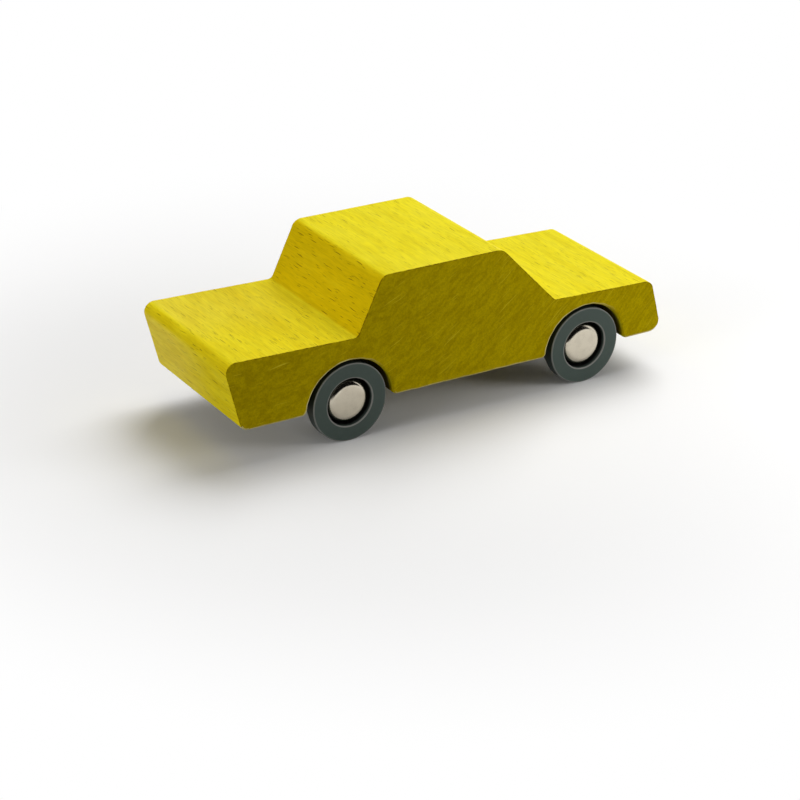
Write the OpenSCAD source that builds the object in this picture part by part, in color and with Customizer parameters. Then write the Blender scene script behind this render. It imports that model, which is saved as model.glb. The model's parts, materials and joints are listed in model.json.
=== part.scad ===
// Toy taxi: a solid beech body on two steel axles, with four rubber-tyred wheels that spin on them.
// Millimetres. X runs from the nose to the tail, Y to the car's right-hand side, Z up from the ground.

/* [Body] */
// Width between the two flat sides
body_width = 45; // [40:0.5:56]
// Length of the bonnet, from the nose corner to the foot of the windscreen
bonnet_length = 38.6; // [34:0.1:46]
// Length that the windscreen leans over
screen_run = 7.1; // [4:0.1:12]
// Length of the roof
roof_length = 36.5; // [26:0.1:48]
// Length that the rear window leans over
rear_window_run = 17.5; // [12:0.1:24]
// Length of the boot lid
boot_length = 32.2; // [30:0.1:42]
// How far the nose leans forward over its foot
nose_lean = 5.2; // [2:0.1:8]
// How far the foot of the tail stands out behind the boot lid
tail_lean = 4.3; // [2:0.1:8]
// Height of the bonnet at the nose, above the sill
bonnet_front_height = 19.25; // [17:0.05:24]
// Height of the bonnet at the windscreen, above the sill
bonnet_rear_height = 18.4; // [17:0.1:24]
// Height of the roof, above the sill
roof_height = 34; // [28:0.5:42]
// Height of the boot lid at the rear window, above the sill
boot_front_height = 16.3; // [15.5:0.1:22]
// Height of the boot lid at the tail, above the sill
boot_rear_height = 15.35; // [15:0.05:22]
// Width of the small bevel along the side edges
edge_bevel = 0.3; // [0.2:0.05:0.6]

/* [Body corners] */
// Radius at the top of the nose
nose_top_radius = 2.7; // [1.5:0.1:4]
// Radius at the foot of the nose
nose_foot_radius = 1.8; // [1.2:0.1:3]
// Inside radius at the foot of the windscreen
screen_foot_radius = 1.8; // [1.2:0.1:3]
// Radius at the front of the roof
roof_front_radius = 3; // [1.5:0.1:6]
// Radius at the back of the roof
roof_back_radius = 4; // [1.5:0.1:8]
// Inside radius at the foot of the rear window
rear_foot_radius = 1.5; // [1.2:0.1:3]
// Radius at the top of the tail
tail_top_radius = 3; // [1.5:0.1:4]
// Radius at the foot of the tail
tail_foot_radius = 3; // [1.5:0.1:4]

/* [Axles] */
// Distance from the nose corner to the front axle
front_overhang = 36.6; // [34:0.1:40]
// Distance between the axles
wheelbase = 73.7; // [68:0.1:78]
// Height of the axles above the sill
axle_rise = 0.75; // [0.2:0.05:1.2]
// Diameter of the axles
axle_diameter = 4; // [3:0.1:5]
// Bevel on the axle ends
axle_bevel = 0.3; // [0.1:0.05:0.5]

/* [Wheel arches] */
// Room round the tyre, beside it
arch_room = 2.05; // [1.8:0.05:3]
// How far the arch centre lies below the sill
arch_drop = 0.3; // [0:0.05:0.5]
// Room behind the tyre, as far as the arch's back wall
arch_back_room = 2; // [1.6:0.1:3]
// Radius of the lips where the arches meet the sill
arch_lip_radius = 1.3; // [0.8:0.1:2]

/* [Tyres] */
// Diameter over the tread
tyre_diameter = 21.6; // [20:0.1:24]
// Width of the tyre
tyre_width = 8; // [7:0.1:10]
// Width of the tread, ahead of the slope down to the tyre's back
tread_width = 3.2; // [2.4:0.1:5]
// Depth of the tyre's ring, from its tread to its well
tyre_section = 4.15; // [3.8:0.05:5]
// Radius of the tyre's edges
tyre_edge_radius = 0.2; // [0.1:0.05:0.6]
// Depth of the open well in the tyre's face
well_depth = 4.2; // [3.8:0.1:4.8]
// Depth of the groove that grips the hub's flange
tyre_grip = 1.85; // [1:0.05:2.2]
// Width of the lip behind the hub's flange
tyre_lip = 1; // [0.8:0.1:1.4]
// Rubber outside the hub's flange, at the tyre's back
tyre_back_wall = 0.5; // [0.4:0.05:1.4]

/* [Hubs] */
// Diameter of the boss behind the hub
hub_boss_diameter = 8; // [7:0.1:9]
// Room between an axle and the hub that turns on it, on the radius
running_clearance = 0.06; // [0.03:0.01:0.1]
// Side play of a wheel between its washer and its cap
side_play = 0.2; // [0.1:0.05:0.4]

/* [Hub caps] */
// Room between the cap and the wall of the well
cap_room = 0.5; // [0.4:0.05:1]
// How far the cap's face lies behind the tyre's face
cap_recess = 0.45; // [0.1:0.05:1]
// Radius of the cap's shoulder
cap_shoulder_radius = 2.1; // [0.8:0.1:2.3]
// Thickness of the cap's skirt
cap_skirt = 0.8; // [0.5:0.05:1]
// Thickness of the cap's face
cap_face = 1; // [0.6:0.05:1.2]
// Wall of the socket that grips the axle, as a share of the room between the axle and the skirt
cap_socket_share = 0.42; // [0.25:0.01:0.6]

/* [Washers] */
// Diameter of the washers behind the hubs
washer_diameter = 9; // [7.5:0.1:11]
// Thickness of the washers
washer_thickness = 0.8; // [0.5:0.05:1]

/* [Axle straps] */
// Width of a strap, along its axle
strap_width = 12; // [8:0.5:18]
// Thickness of the strap's steel
strap_thickness = 0.8; // [0.5:0.05:1.2]
// Distance from a screw to the end of its strap
strap_end = 3.6; // [3:0.1:5]
// Radius of the strap's corners
strap_corner_radius = 2; // [1:0.1:3]
// Room between an axle and what holds it, on the radius
seat_clearance = 0.05; // [0.02:0.01:0.1]

/* [Strap screws] */
// Distance between the two screws of a strap
screw_spacing = 15; // [13:0.5:20]
// Diameter of the screw's shank
screw_diameter = 2.2; // [1.6:0.1:2.6]
// Length of the shank
screw_length = 8; // [6:0.5:12]
// Diameter of the screw's head
screw_head_diameter = 4.4; // [3.6:0.1:5]
// Height of the screw's head
screw_head_height = 1.3; // [1:0.1:1.8]
// Radius of the head's rim
screw_head_rim = 0.7; // [0.3:0.05:0.9]
// Length of the shank's point
screw_point = 1.8; // [1:0.1:2.5]
// Length of the cross in the screw's head
screw_cross_length = 2.4; // [1.8:0.1:3]
// Width of the cross in the screw's head
screw_cross_width = 0.55; // [0.4:0.05:0.8]
// Depth of the cross in the screw's head
screw_cross_depth = 0.7; // [0.4:0.05:0.8]
// Room between a screw and its hole in the strap, on the radius
screw_clearance = 0.15; // [0.05:0.05:0.3]

/* [Hidden] */
$fn = 96;
// How far a cut runs past the face that it opens
overrun = 0.25;
// Room at the end of a pilot hole and of a cap's socket
end_room = 0.1;
// Bevel round the corners, a touch deeper than along the straight edges that run into them
bevel_step = 0.03;
corner_bevel = edge_bevel + bevel_step;

axle_radius = axle_diameter / 2;
tyre_radius = tyre_diameter / 2;
arch_radius = tyre_radius + arch_room;
well_radius = tyre_radius - tyre_section;
flange_radius = well_radius + tyre_grip;
tyre_back_radius = flange_radius + tyre_back_wall;
cap_radius = well_radius - cap_room;
screw_radius = screw_diameter / 2;

// Heights above the ground
axle_z = tyre_radius;
sill_z = axle_z - axle_rise;
arch_z = sill_z - arch_drop;
strap_z = sill_z - strap_thickness;

// Distances from the car's middle plane, working inwards along an axle
side_y = body_width / 2;
cap_y = side_y - cap_recess;
axle_end_y = cap_y - cap_face - end_room;
well_y = side_y - well_depth;
cap_skirt_y = well_y + side_play;
tread_back_y = side_y - tread_width;
tyre_back_y = side_y - tyre_width;
flange_back_y = tyre_back_y + tyre_lip;
arch_back_y = tyre_back_y - arch_back_room;
washer_y = arch_back_y + washer_thickness;
hub_back_y = washer_y + side_play;

// Places along the car, from the nose corner
screen_foot = bonnet_length;
roof_front = screen_foot + screen_run;
roof_back = roof_front + roof_length;
rear_foot = roof_back + rear_window_run;
tail_top = rear_foot + boot_length;
tail_foot = tail_top + tail_lean;

// The corners of the side outline, anticlockwise: place along the car, height above the sill, radius
outline = [
    [nose_lean, 0, nose_foot_radius],
    [tail_foot, 0, tail_foot_radius],
    [tail_top, boot_rear_height, tail_top_radius],
    [rear_foot, boot_front_height, rear_foot_radius],
    [roof_back, roof_height, roof_back_radius],
    [roof_front, roof_height, roof_front_radius],
    [screen_foot, bonnet_rear_height, screen_foot_radius],
    [0, bonnet_front_height, nose_top_radius],
];

// The origin lies midway between the foremost point of the nose and the rearmost point of the tail
nose_tip = min([for (i = [0, 7]) arc_centre(outline, i).x - outline[i][2]]);
tail_tip = max([for (i = [1, 2]) arc_centre(outline, i).x + outline[i][2]]);
nose_x = -(nose_tip + tail_tip) / 2;
front_x = nose_x + front_overhang;
rear_x = front_x + wheelbase;

left = -1;
right = 1;

// Corner geometry of an anticlockwise outline c of [x, y, radius]
function place(p) = [p.x, p.y];
function unit(v) = v / norm(v);
function to_last(c, i) = unit(place(c[(i + len(c) - 1) % len(c)]) - place(c[i]));
function to_next(c, i) = unit(place(c[(i + 1) % len(c)]) - place(c[i]));
function half_angle(c, i) = acos(to_last(c, i) * to_next(c, i)) / 2;
function inward(c, i) = unit(to_last(c, i) + to_next(c, i));
function arc_start(c, i) = place(c[i]) + to_last(c, i) * c[i][2] / tan(half_angle(c, i));
function arc_end(c, i) = place(c[i]) + to_next(c, i) * c[i][2] / tan(half_angle(c, i));
function arc_centre(c, i) = place(c[i]) + inward(c, i) * c[i][2] / sin(half_angle(c, i));
function is_convex(c, i) = cross(to_next(c, i), to_last(c, i)) > 0;

// The sliver between a sharp corner and the true arc that rounds it
module corner_patch(c, i) {
    difference() {
        polygon([
            arc_start(c, i),
            place(c[i]) - inward(c, i) * overrun,
            arc_end(c, i),
            arc_centre(c, i),
        ]);
        translate(arc_centre(c, i)) circle(c[i][2]);
    }
}

// Points of a corner before its arc is cut: the corner itself, or a chord across an inside corner
function corner_points(c, i) =
    is_convex(c, i) || c[i][2] == 0 ? [place(c[i])] : [arc_start(c, i), arc_end(c, i)];

// A polygon with each corner rounded by its own radius
module rounded(c) {
    corners = [for (i = [0 : len(c) - 1]) if (c[i][2] > 0) i];
    difference() {
        polygon([for (i = [0 : len(c) - 1]) each corner_points(c, i)]);
        for (i = corners) {
            if (is_convex(c, i)) corner_patch(c, i);
            else translate(arc_centre(c, i)) circle(c[i][2]);
        }
    }
}

// Turns a flat drawing in X and Z into a slab across the car, centred on y
module across(width, y = 0) {
    translate([0, y, 0]) rotate([90, 0, 0]) linear_extrude(width, center = true) children();
}

// Puts a shape drawn up the Z axis on an axle, pointing out to one side
module on_axle(x, side = right) {
    translate([x, 0, axle_z]) rotate([-90 * side, 0, 0]) children();
}

// The side outline in its place over the ground
function body_corners() = [for (p = outline) [nose_x + p.x, sill_z + p.y, p[2]]];

// Section of a bevel cut: zero is the sharp edge, x points off the body and y off its side
module bevel_section(bevel) {
    polygon([
        [-bevel - overrun, overrun],
        [overrun, -bevel - overrun],
        [overrun, overrun],
    ]);
}

// Bevel along the straight edge from a to b, on the right-hand side, running on into the corners
module straight_bevel(a, b) {
    along = b - a;
    start = a - unit(along) * overrun;
    translate([start.x, side_y, start.y])
        rotate([0, -atan2(along.y, along.x), 0])
            rotate([90, 0, 90])
                linear_extrude(norm(along) + overrun * 2) rotate(-90) bevel_section(edge_bevel);
}

// Bevel round a corner's arc, on the right-hand side, running on into the straight edges
module arc_bevel(c, i) {
    middle = arc_centre(c, i);
    start = arc_start(c, i) + to_last(c, i) * overrun;
    end = arc_end(c, i) + to_next(c, i) * overrun;
    reach = 2;
    intersection() {
        translate([middle.x, side_y, middle.y])
            rotate([-90, 0, 0])
                rotate_extrude()
                    translate([c[i][2], 0])
                        mirror([is_convex(c, i) ? 0 : 1, 0]) bevel_section(corner_bevel);
        across(body_width * reach)
            polygon([
                middle,
                middle + (start - middle) * reach,
                middle + (place(c[i]) - middle) * reach,
                middle + (end - middle) * reach,
            ]);
    }
}

// All the bevels of the right-hand side
module side_bevels() {
    c = body_corners();
    for (i = [0 : len(c) - 1]) {
        straight_bevel(arc_end(c, i), arc_start(c, (i + 1) % len(c)));
        arc_bevel(c, i);
    }
    for (x = [front_x, rear_x])
        translate([x, side_y - edge_bevel, arch_z])
            rotate([-90, 0, 0])
                cylinder(edge_bevel + overrun, arch_radius, arch_radius + edge_bevel + overrun);
}

// Flat shape of a wheel arch at x: a circle, with its two lips rounded over into the sill
module arch_shape(x) {
    lip_rise = arch_lip_radius + arch_drop;
    lip_reach = sqrt(pow(arch_radius + arch_lip_radius, 2) - pow(lip_rise, 2));
    meet_share = arch_radius / (arch_radius + arch_lip_radius);
    translate([x, arch_z]) {
        circle(arch_radius);
        for (turn = [0, 1]) mirror([turn, 0]) difference() {
            polygon([
                [lip_reach, lip_rise],
                [lip_reach * meet_share, lip_rise * meet_share],
                [lip_reach * meet_share, -overrun],
                [lip_reach, -overrun],
            ]);
            translate([lip_reach, lip_rise]) circle(arch_lip_radius);
        }
    }
}

// Flat shape of the groove that an axle lies in, open at the sill
module groove_shape(x) {
    groove_radius = axle_radius + seat_clearance;
    translate([x, axle_z]) circle(groove_radius);
    translate([x - groove_radius, strap_z]) square([groove_radius * 2, axle_z - strap_z]);
}

module at_screws(x) {
    for (turn = [-1, 1]) translate([x + turn * screw_spacing / 2, 0, 0]) children();
}

module body() {
    arch_width = side_y - arch_back_y + overrun;
    color([0.86, 0.76, 0.12]) difference() {
        across(body_width) rounded(body_corners());
        for (x = [front_x, rear_x]) {
            for (side = [left, right])
                across(arch_width, side * (arch_back_y + arch_width / 2)) arch_shape(x);
            across((arch_back_y + overrun) * 2) groove_shape(x);
            at_screws(x) translate([0, 0, strap_z]) cylinder(screw_length + end_room, r = screw_radius);
        }
        for (turn = [0, 1]) mirror([0, turn, 0]) side_bevels();
    }
}

// A steel rod, bevelled at both ends
module axle(x) {
    color([0.70, 0.71, 0.72]) on_axle(x) rotate_extrude()
        polygon([
            [0, -axle_end_y],
            [axle_radius - axle_bevel, -axle_end_y],
            [axle_radius, -axle_end_y + axle_bevel],
            [axle_radius, axle_end_y - axle_bevel],
            [axle_radius - axle_bevel, axle_end_y],
            [0, axle_end_y],
        ]);
}

// A flat strap with a round hump that holds its axle up in the groove
module axle_strap(x) {
    half_length = screw_spacing / 2 + strap_end;
    hump_radius = axle_radius + seat_clearance;
    color([0.62, 0.63, 0.65]) difference() {
        union() {
            translate([x, 0, strap_z]) linear_extrude(strap_thickness)
                rounded([for (p = [[-1, -1], [1, -1], [1, 1], [-1, 1]])
                    [p.x * half_length, p.y * strap_width / 2, strap_corner_radius]]);
            across(strap_width) intersection() {
                translate([x, axle_z]) circle(hump_radius + strap_thickness);
                translate([x - half_length, 0]) square([half_length * 2, sill_z]);
            }
        }
        across(strap_width + overrun * 2) translate([x, axle_z]) circle(hump_radius);
        at_screws(x) translate([0, 0, strap_z - overrun])
            cylinder(strap_thickness + overrun * 2, r = screw_radius + screw_clearance);
    }
}

// A pan-head wood screw, point up, with a cross in its head
module screw() {
    head_radius = screw_head_diameter / 2;
    difference() {
        rotate_extrude() rounded([
            [0, -screw_head_height, 0],
            [head_radius, -screw_head_height, screw_head_rim],
            [head_radius, 0, 0],
            [screw_radius, 0, 0],
            [screw_radius, screw_length - screw_point, 0],
            [0, screw_length, 0],
        ]);
        for (turn = [0, 90]) rotate(turn)
            translate([-screw_cross_length / 2, -screw_cross_width / 2, -screw_head_height - overrun])
                cube([screw_cross_length, screw_cross_width, screw_cross_depth + overrun]);
    }
}

module strap_screws(x) {
    color([0.55, 0.56, 0.58]) at_screws(x) translate([0, 0, strap_z]) screw();
}

// A ring with an open well in its face, a groove inside that grips the hub's flange, and a sloping back
module tyre(x, side) {
    color([0.22, 0.26, 0.27]) on_axle(x, side) rotate_extrude() rounded([
        [well_radius, tyre_back_y, tyre_edge_radius],
        [tyre_back_radius, tyre_back_y, tyre_edge_radius],
        [tyre_radius, tread_back_y, tyre_edge_radius],
        [tyre_radius, side_y, tyre_edge_radius],
        [well_radius, side_y, tyre_edge_radius],
        [well_radius, well_y, 0],
        [flange_radius, well_y, 0],
        [flange_radius, flange_back_y, 0],
        [well_radius, flange_back_y, 0],
    ]);
}

// The wheel's moulded core: a flange inside the tyre and a boss that keeps it off the arch's back wall
module hub(x, side) {
    bore_radius = axle_radius + running_clearance;
    boss_radius = hub_boss_diameter / 2;
    color([0.10, 0.10, 0.11]) on_axle(x, side) rotate_extrude() polygon([
        [bore_radius, hub_back_y],
        [boss_radius, hub_back_y],
        [boss_radius, flange_back_y],
        [flange_radius, flange_back_y],
        [flange_radius, well_y],
        [bore_radius, well_y],
    ]);
}

// A plated cap, hollow behind, with a socket that is pushed onto the axle's end
module hub_cap(x, side) {
    hollow_radius = cap_radius - cap_skirt;
    socket_radius = axle_radius + (hollow_radius - axle_radius) * cap_socket_share;
    color([0.72, 0.69, 0.62]) on_axle(x, side) rotate_extrude() rounded([
        [axle_radius, cap_skirt_y, 0],
        [socket_radius, cap_skirt_y, 0],
        [socket_radius, cap_y - cap_face, 0],
        [hollow_radius, cap_y - cap_face, 0],
        [hollow_radius, cap_skirt_y, 0],
        [cap_radius, cap_skirt_y, 0],
        [cap_radius, cap_y, cap_shoulder_radius],
        [0, cap_y, 0],
        [0, cap_y - cap_face, 0],
        [axle_radius, cap_y - cap_face, 0],
    ]);
}

// A flat ring between the arch's back wall and the hub
module washer(x, side) {
    hole_radius = axle_radius + running_clearance;
    color([0.82, 0.81, 0.76]) on_axle(x, side) rotate_extrude()
        translate([hole_radius, arch_back_y])
            square([washer_diameter / 2 - hole_radius, washer_thickness]);
}

body();
axle(front_x);  // front_axle
axle(rear_x);  // rear_axle
axle_strap(front_x);  // front_axle_strap
axle_strap(rear_x);  // rear_axle_strap
strap_screws(front_x);  // front_strap_screws
strap_screws(rear_x);  // rear_strap_screws
tyre(front_x, left);  // tyre_front_left
tyre(front_x, right);  // tyre_front_right
tyre(rear_x, left);  // tyre_rear_left
tyre(rear_x, right);  // tyre_rear_right
hub(front_x, left);  // hub_front_left
hub(front_x, right);  // hub_front_right
hub(rear_x, left);  // hub_rear_left
hub(rear_x, right);  // hub_rear_right
hub_cap(front_x, left);  // hub_cap_front_left
hub_cap(front_x, right);  // hub_cap_front_right
hub_cap(rear_x, left);  // hub_cap_rear_left
hub_cap(rear_x, right);  // hub_cap_rear_right
washer(front_x, left);  // washer_front_left
washer(front_x, right);  // washer_front_right
washer(rear_x, left);  // washer_rear_left
washer(rear_x, right);  // washer_rear_right
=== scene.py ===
import json
import math

import bmesh
import bpy
import numpy as np
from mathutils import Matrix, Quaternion, Vector

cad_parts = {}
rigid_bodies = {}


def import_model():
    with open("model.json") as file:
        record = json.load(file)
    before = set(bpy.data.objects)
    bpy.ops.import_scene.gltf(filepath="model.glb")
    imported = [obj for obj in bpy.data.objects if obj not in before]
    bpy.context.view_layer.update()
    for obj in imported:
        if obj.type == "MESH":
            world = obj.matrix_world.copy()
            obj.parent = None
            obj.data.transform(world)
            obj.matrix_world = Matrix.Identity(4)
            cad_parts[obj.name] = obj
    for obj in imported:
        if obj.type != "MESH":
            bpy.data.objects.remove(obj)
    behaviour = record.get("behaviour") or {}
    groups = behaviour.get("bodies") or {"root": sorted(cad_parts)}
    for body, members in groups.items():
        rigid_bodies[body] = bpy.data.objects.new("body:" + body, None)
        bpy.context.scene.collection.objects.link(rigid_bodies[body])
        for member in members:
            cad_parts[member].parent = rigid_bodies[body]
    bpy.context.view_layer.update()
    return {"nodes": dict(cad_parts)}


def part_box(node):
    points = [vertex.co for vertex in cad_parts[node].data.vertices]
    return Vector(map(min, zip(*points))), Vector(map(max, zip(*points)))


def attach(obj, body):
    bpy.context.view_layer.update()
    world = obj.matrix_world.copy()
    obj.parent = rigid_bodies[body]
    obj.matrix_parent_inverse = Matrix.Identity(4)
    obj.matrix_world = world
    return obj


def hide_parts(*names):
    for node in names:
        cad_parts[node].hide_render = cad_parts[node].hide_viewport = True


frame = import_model()
scene = bpy.context.scene
scene.view_settings.view_transform = "Standard"
mm = 0.001  # sizes are written as millimetres times this
print("frame loaded:", len(frame["nodes"]), "CAD nodes")


# Node helpers: a socket as an input is linked, anything else is set as its value
def addNode(tree, kind, inputs=None, **settings):
    made = tree.nodes.new(kind)
    for key, value in settings.items():
        setattr(made, key, value)
    for key, value in (inputs or {}).items():
        if isinstance(value, bpy.types.NodeSocket):
            tree.links.new(value, made.inputs[key])
        else:
            made.inputs[key].default_value = value
    return made


def calc(tree, operation, *values, clamp=False):
    inputs = dict(enumerate(values))
    return addNode(tree, "ShaderNodeMath", inputs, operation=operation, use_clamp=clamp).outputs[0]


# A value's range carried over to another range, with soft ends
def spread(tree, value, fromLow, fromHigh, toLow=0.0, toHigh=1.0):
    inputs = {"Value": value, "From Min": fromLow, "From Max": fromHigh, "To Min": toLow, "To Max": toHigh}
    return addNode(tree, "ShaderNodeMapRange", inputs, interpolation_type="SMOOTHSTEP").outputs["Result"]


def mixColour(tree, share, first, second, blend="MIX"):
    inputs = {0: share, 6: first, 7: second}
    return addNode(tree, "ShaderNodeMix", inputs, data_type="RGBA", blend_type=blend).outputs[2]


def tint(tree, colour, by):
    return mixColour(tree, 1.0, colour, by, "MULTIPLY")


# Where the share is 1, only this part of the colour is left
def darken(tree, share, colour, left):
    return mixColour(tree, share, colour, tint(tree, colour, left))


# Two values added, the first at its share and the second at the rest
def blendOf(tree, share, first, second):
    rest = calc(tree, "MULTIPLY", second, 1 - share)
    return calc(tree, "ADD", calc(tree, "MULTIPLY", first, share), rest)


def mark(tree, name):
    return addNode(tree, "ShaderNodeAttribute", attribute_name=name).outputs["Fac"]


# Places in millimetres, divided by a grain size along each axis
def grainPlace(tree, place, sizes):
    inputs = {0: place, 1: tuple(1 / s for s in sizes)}
    return addNode(tree, "ShaderNodeVectorMath", inputs, operation="MULTIPLY").outputs[0]


def cloudy(tree, place, sizes, detail=2.0, rough=0.5):
    inputs = {"Vector": grainPlace(tree, place, sizes), "Scale": 1.0, "Detail": detail, "Roughness": rough}
    return addNode(tree, "ShaderNodeTexNoise", inputs).outputs[0]


def startMaterial(name):
    material = bpy.data.materials.new(name)
    material.use_nodes = True
    tree = material.node_tree
    shader = tree.nodes["Principled BSDF"]
    coords = addNode(tree, "ShaderNodeTexCoord").outputs["Object"]
    inputs = {0: coords, "Scale": 1 / mm}
    place = addNode(tree, "ShaderNodeVectorMath", inputs, operation="SCALE").outputs[0]
    return material, tree, shader, place


# Colour, roughness and a bump of (strength, depth), all of which vary over the surface
def dress(tree, shader, colour, rough, height, feel):
    inputs = {"Height": height, "Strength": feel[0], "Distance": feel[1]}
    bump = addNode(tree, "ShaderNodeBump", inputs)
    tree.links.new(colour, shader.inputs["Base Color"])
    tree.links.new(rough, shader.inputs["Roughness"])
    tree.links.new(bump.outputs["Normal"], shader.inputs["Normal"])


# Four-sided faces between neighbours in a grid of points, wrapping round where a direction is closed
def gridFaces(rows, columns, closeRows=False, closeColumns=False):
    i = np.arange(rows if closeRows else rows - 1)[:, None]
    j = np.arange(columns if closeColumns else columns - 1)[None, :]
    nextI = (i + 1) % rows
    nextJ = (j + 1) % columns
    corners = [i * columns + j, i * columns + nextJ, nextI * columns + nextJ, nextI * columns + j]
    return np.stack(corners, axis=-1).reshape(-1, 4).tolist()


def makeObject(name, points, faces, material):
    mesh = bpy.data.meshes.new(name)
    mesh.from_pydata(points.reshape(-1, 3), [], faces)
    mesh.materials.append(material)
    made = bpy.data.objects.new(name, mesh)
    scene.collection.objects.link(made)
    return made


# How a piece's mesh is closed and shaded
meshSet = {
    "weld": 0.0005 * mm,  # points nearer than this become one
    "shortEdge": 0.0001 * mm,  # edges shorter than this are taken out
    "sharpAngle": math.radians(40),
}


# A smooth closed piece with marks on its points, its seams merged and its faces turned outwards
def makePiece(name, points, faces, material, marks=None):
    piece = makeObject(name, points, faces, material)
    mesh = piece.data
    for key, values in (marks or {}).items():
        layer = mesh.attributes.new(key, "FLOAT", "POINT")
        layer.data.foreach_set("value", values.astype(np.float32).ravel())
    work = bmesh.new()
    work.from_mesh(mesh)
    bmesh.ops.remove_doubles(work, verts=work.verts, dist=meshSet["weld"])
    bmesh.ops.dissolve_degenerate(work, edges=work.edges, dist=meshSet["shortEdge"])
    bmesh.ops.recalc_face_normals(work, faces=work.faces)
    work.to_mesh(mesh)
    work.free()
    mesh.polygons.foreach_set("use_smooth", np.ones(len(mesh.polygons), bool))
    mesh.set_sharp_from_angle(angle=meshSet["sharpAngle"])
    return piece


# Camera, at the photograph's place and angle
cameraSet = {
    "place": (-322.8 * mm, -505.0 * mm, 277.3 * mm),
    "heading": 32.418,  # degrees from +Y towards +X
    "dip": 25.228,  # degrees below level
    "roll": 1.314,  # degrees
    "lens": 109.73,
    "sensor": 36.0,
}


def makeCamera(s):
    data = bpy.data.cameras.new("camera")
    data.lens = s["lens"]
    data.sensor_width = s["sensor"]
    heading = math.radians(s["heading"])
    dip = math.radians(s["dip"])
    level = math.cos(dip)
    look = Vector((math.sin(heading) * level, math.cos(heading) * level, -math.sin(dip)))
    roll = Quaternion((0, 0, 1), math.radians(s["roll"]))
    camera = bpy.data.objects.new("camera", data)
    camera.location = s["place"]
    camera.rotation_mode = "QUATERNION"
    camera.rotation_quaternion = look.to_track_quat("-Z", "Y") @ roll
    scene.collection.objects.link(camera)
    scene.camera = camera


# Stage: a pale floor that keeps the shadow and turns white further out, a white surround, and a dark screen
# on the near side that only reflections show
stageSet = {
    "floorHalf": 4.0,
    "floorColour": (0.93, 0.93, 0.93, 1),
    "bounceColour": (0.15, 0.137, 0.12, 1),  # what the floor gives back to the object
    "fadeFrom": 0.08,  # metres from the middle, where the floor begins to turn white
    "fadeTo": 0.18,
    "surround": (1.0, 0.98, 0.95, 1),
    "surroundLevel": 0.16,
    "screenRadius": 0.32,
    "screenHeight": 0.55,
    "screenTurn": (-75, 50),  # degrees from -Y towards +X
    "screenColumns": 26,
    "screenColour": (0.01, 0.01, 0.01, 1),
}


def seenDirectly(tree):
    path = addNode(tree, "ShaderNodeLightPath").outputs
    seen = calc(tree, "MAXIMUM", path["Is Camera Ray"], path["Is Glossy Ray"])
    return calc(tree, "MAXIMUM", seen, path["Is Transmission Ray"])


def startPlain(name):
    material = bpy.data.materials.new(name)
    material.use_nodes = True
    material.node_tree.nodes.clear()
    return material, material.node_tree


def makeFloor(s):
    material, tree = startPlain("paleFloor")
    seen = seenDirectly(tree)
    colour = mixColour(tree, seen, s["bounceColour"], s["floorColour"])
    matt = addNode(tree, "ShaderNodeBsdfDiffuse", {"Color": colour}).outputs[0]
    white = addNode(tree, "ShaderNodeEmission", {"Strength": 1.0}).outputs[0]
    coords = addNode(tree, "ShaderNodeTexCoord").outputs["Object"]
    away = addNode(tree, "ShaderNodeVectorMath", {0: coords}, operation="LENGTH").outputs["Value"]
    share = calc(tree, "MULTIPLY", spread(tree, away, s["fadeFrom"], s["fadeTo"]), seen)
    both = addNode(tree, "ShaderNodeMixShader", {0: share, 1: matt, 2: white}).outputs[0]
    addNode(tree, "ShaderNodeOutputMaterial", {"Surface": both})
    h = s["floorHalf"]
    corners = np.array([(-h, -h, 0), (h, -h, 0), (h, h, 0), (-h, h, 0)])
    makeObject("floor", corners, [(0, 1, 2, 3)], material)


# The screen stands on part of a circle round the origin: x = radius * sin a, y = -radius * cos a
def makeScreen(s):
    material, tree = startPlain("darkScreen")
    matt = addNode(tree, "ShaderNodeBsdfDiffuse", {"Color": s["screenColour"]}).outputs[0]
    addNode(tree, "ShaderNodeOutputMaterial", {"Surface": matt})
    a = np.radians(np.linspace(*s["screenTurn"], s["screenColumns"]))
    foot = np.column_stack([np.sin(a), -np.cos(a), np.zeros(len(a))]) * s["screenRadius"]
    points = np.stack([foot, foot + np.array([0, 0, s["screenHeight"]])])
    screen = makeObject("screen", points, gridFaces(2, len(a)), material)
    screen.visible_camera = False
    screen.visible_diffuse = False
    screen.visible_transmission = False
    screen.visible_shadow = False


def makeSurround(s):
    world = bpy.data.worlds.new("surround")
    scene.world = world
    world.use_nodes = True
    tree = world.node_tree
    tree.nodes.clear()
    dim = addNode(tree, "ShaderNodeBackground", {"Color": s["surround"], "Strength": s["surroundLevel"]})
    plain = addNode(tree, "ShaderNodeBackground", {"Color": (1, 1, 1, 1), "Strength": 1.0})
    inputs = {0: seenDirectly(tree), 1: dim.outputs[0], 2: plain.outputs[0]}
    both = addNode(tree, "ShaderNodeMixShader", inputs).outputs[0]
    addNode(tree, "ShaderNodeOutputWorld", {"Surface": both})


# Lamps: a broad soft one high behind the tail, and weaker ones off the nose and off the near rear corner.
# Places and sizes are in metres, and a lamp that isn't mirrored leaves no spot on the metal.
lampSet = {
    "key": {"place": (0.54, 0.34, 0.96), "size": 0.9, "power": 12.0, "mirrored": True},
    "nose": {"place": (-0.90, -0.05, 0.16), "size": 0.5, "power": 5.0, "mirrored": True},
    "corner": {"place": (0.30, -0.22, 0.10), "size": 0.15, "power": 0.57, "mirrored": False},
}


def makeLamps(lamps):
    for name, s in lamps.items():
        data = bpy.data.lights.new(name, "AREA")
        data.size = s["size"]
        data.energy = s["power"]
        lamp = bpy.data.objects.new(name, data)
        lamp.location = s["place"]
        lamp.rotation_mode = "QUATERNION"
        lamp.rotation_quaternion = (-Vector(s["place"])).to_track_quat("-Z", "Y")
        lamp.visible_glossy = s["mirrored"]
        scene.collection.objects.link(lamp)


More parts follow.
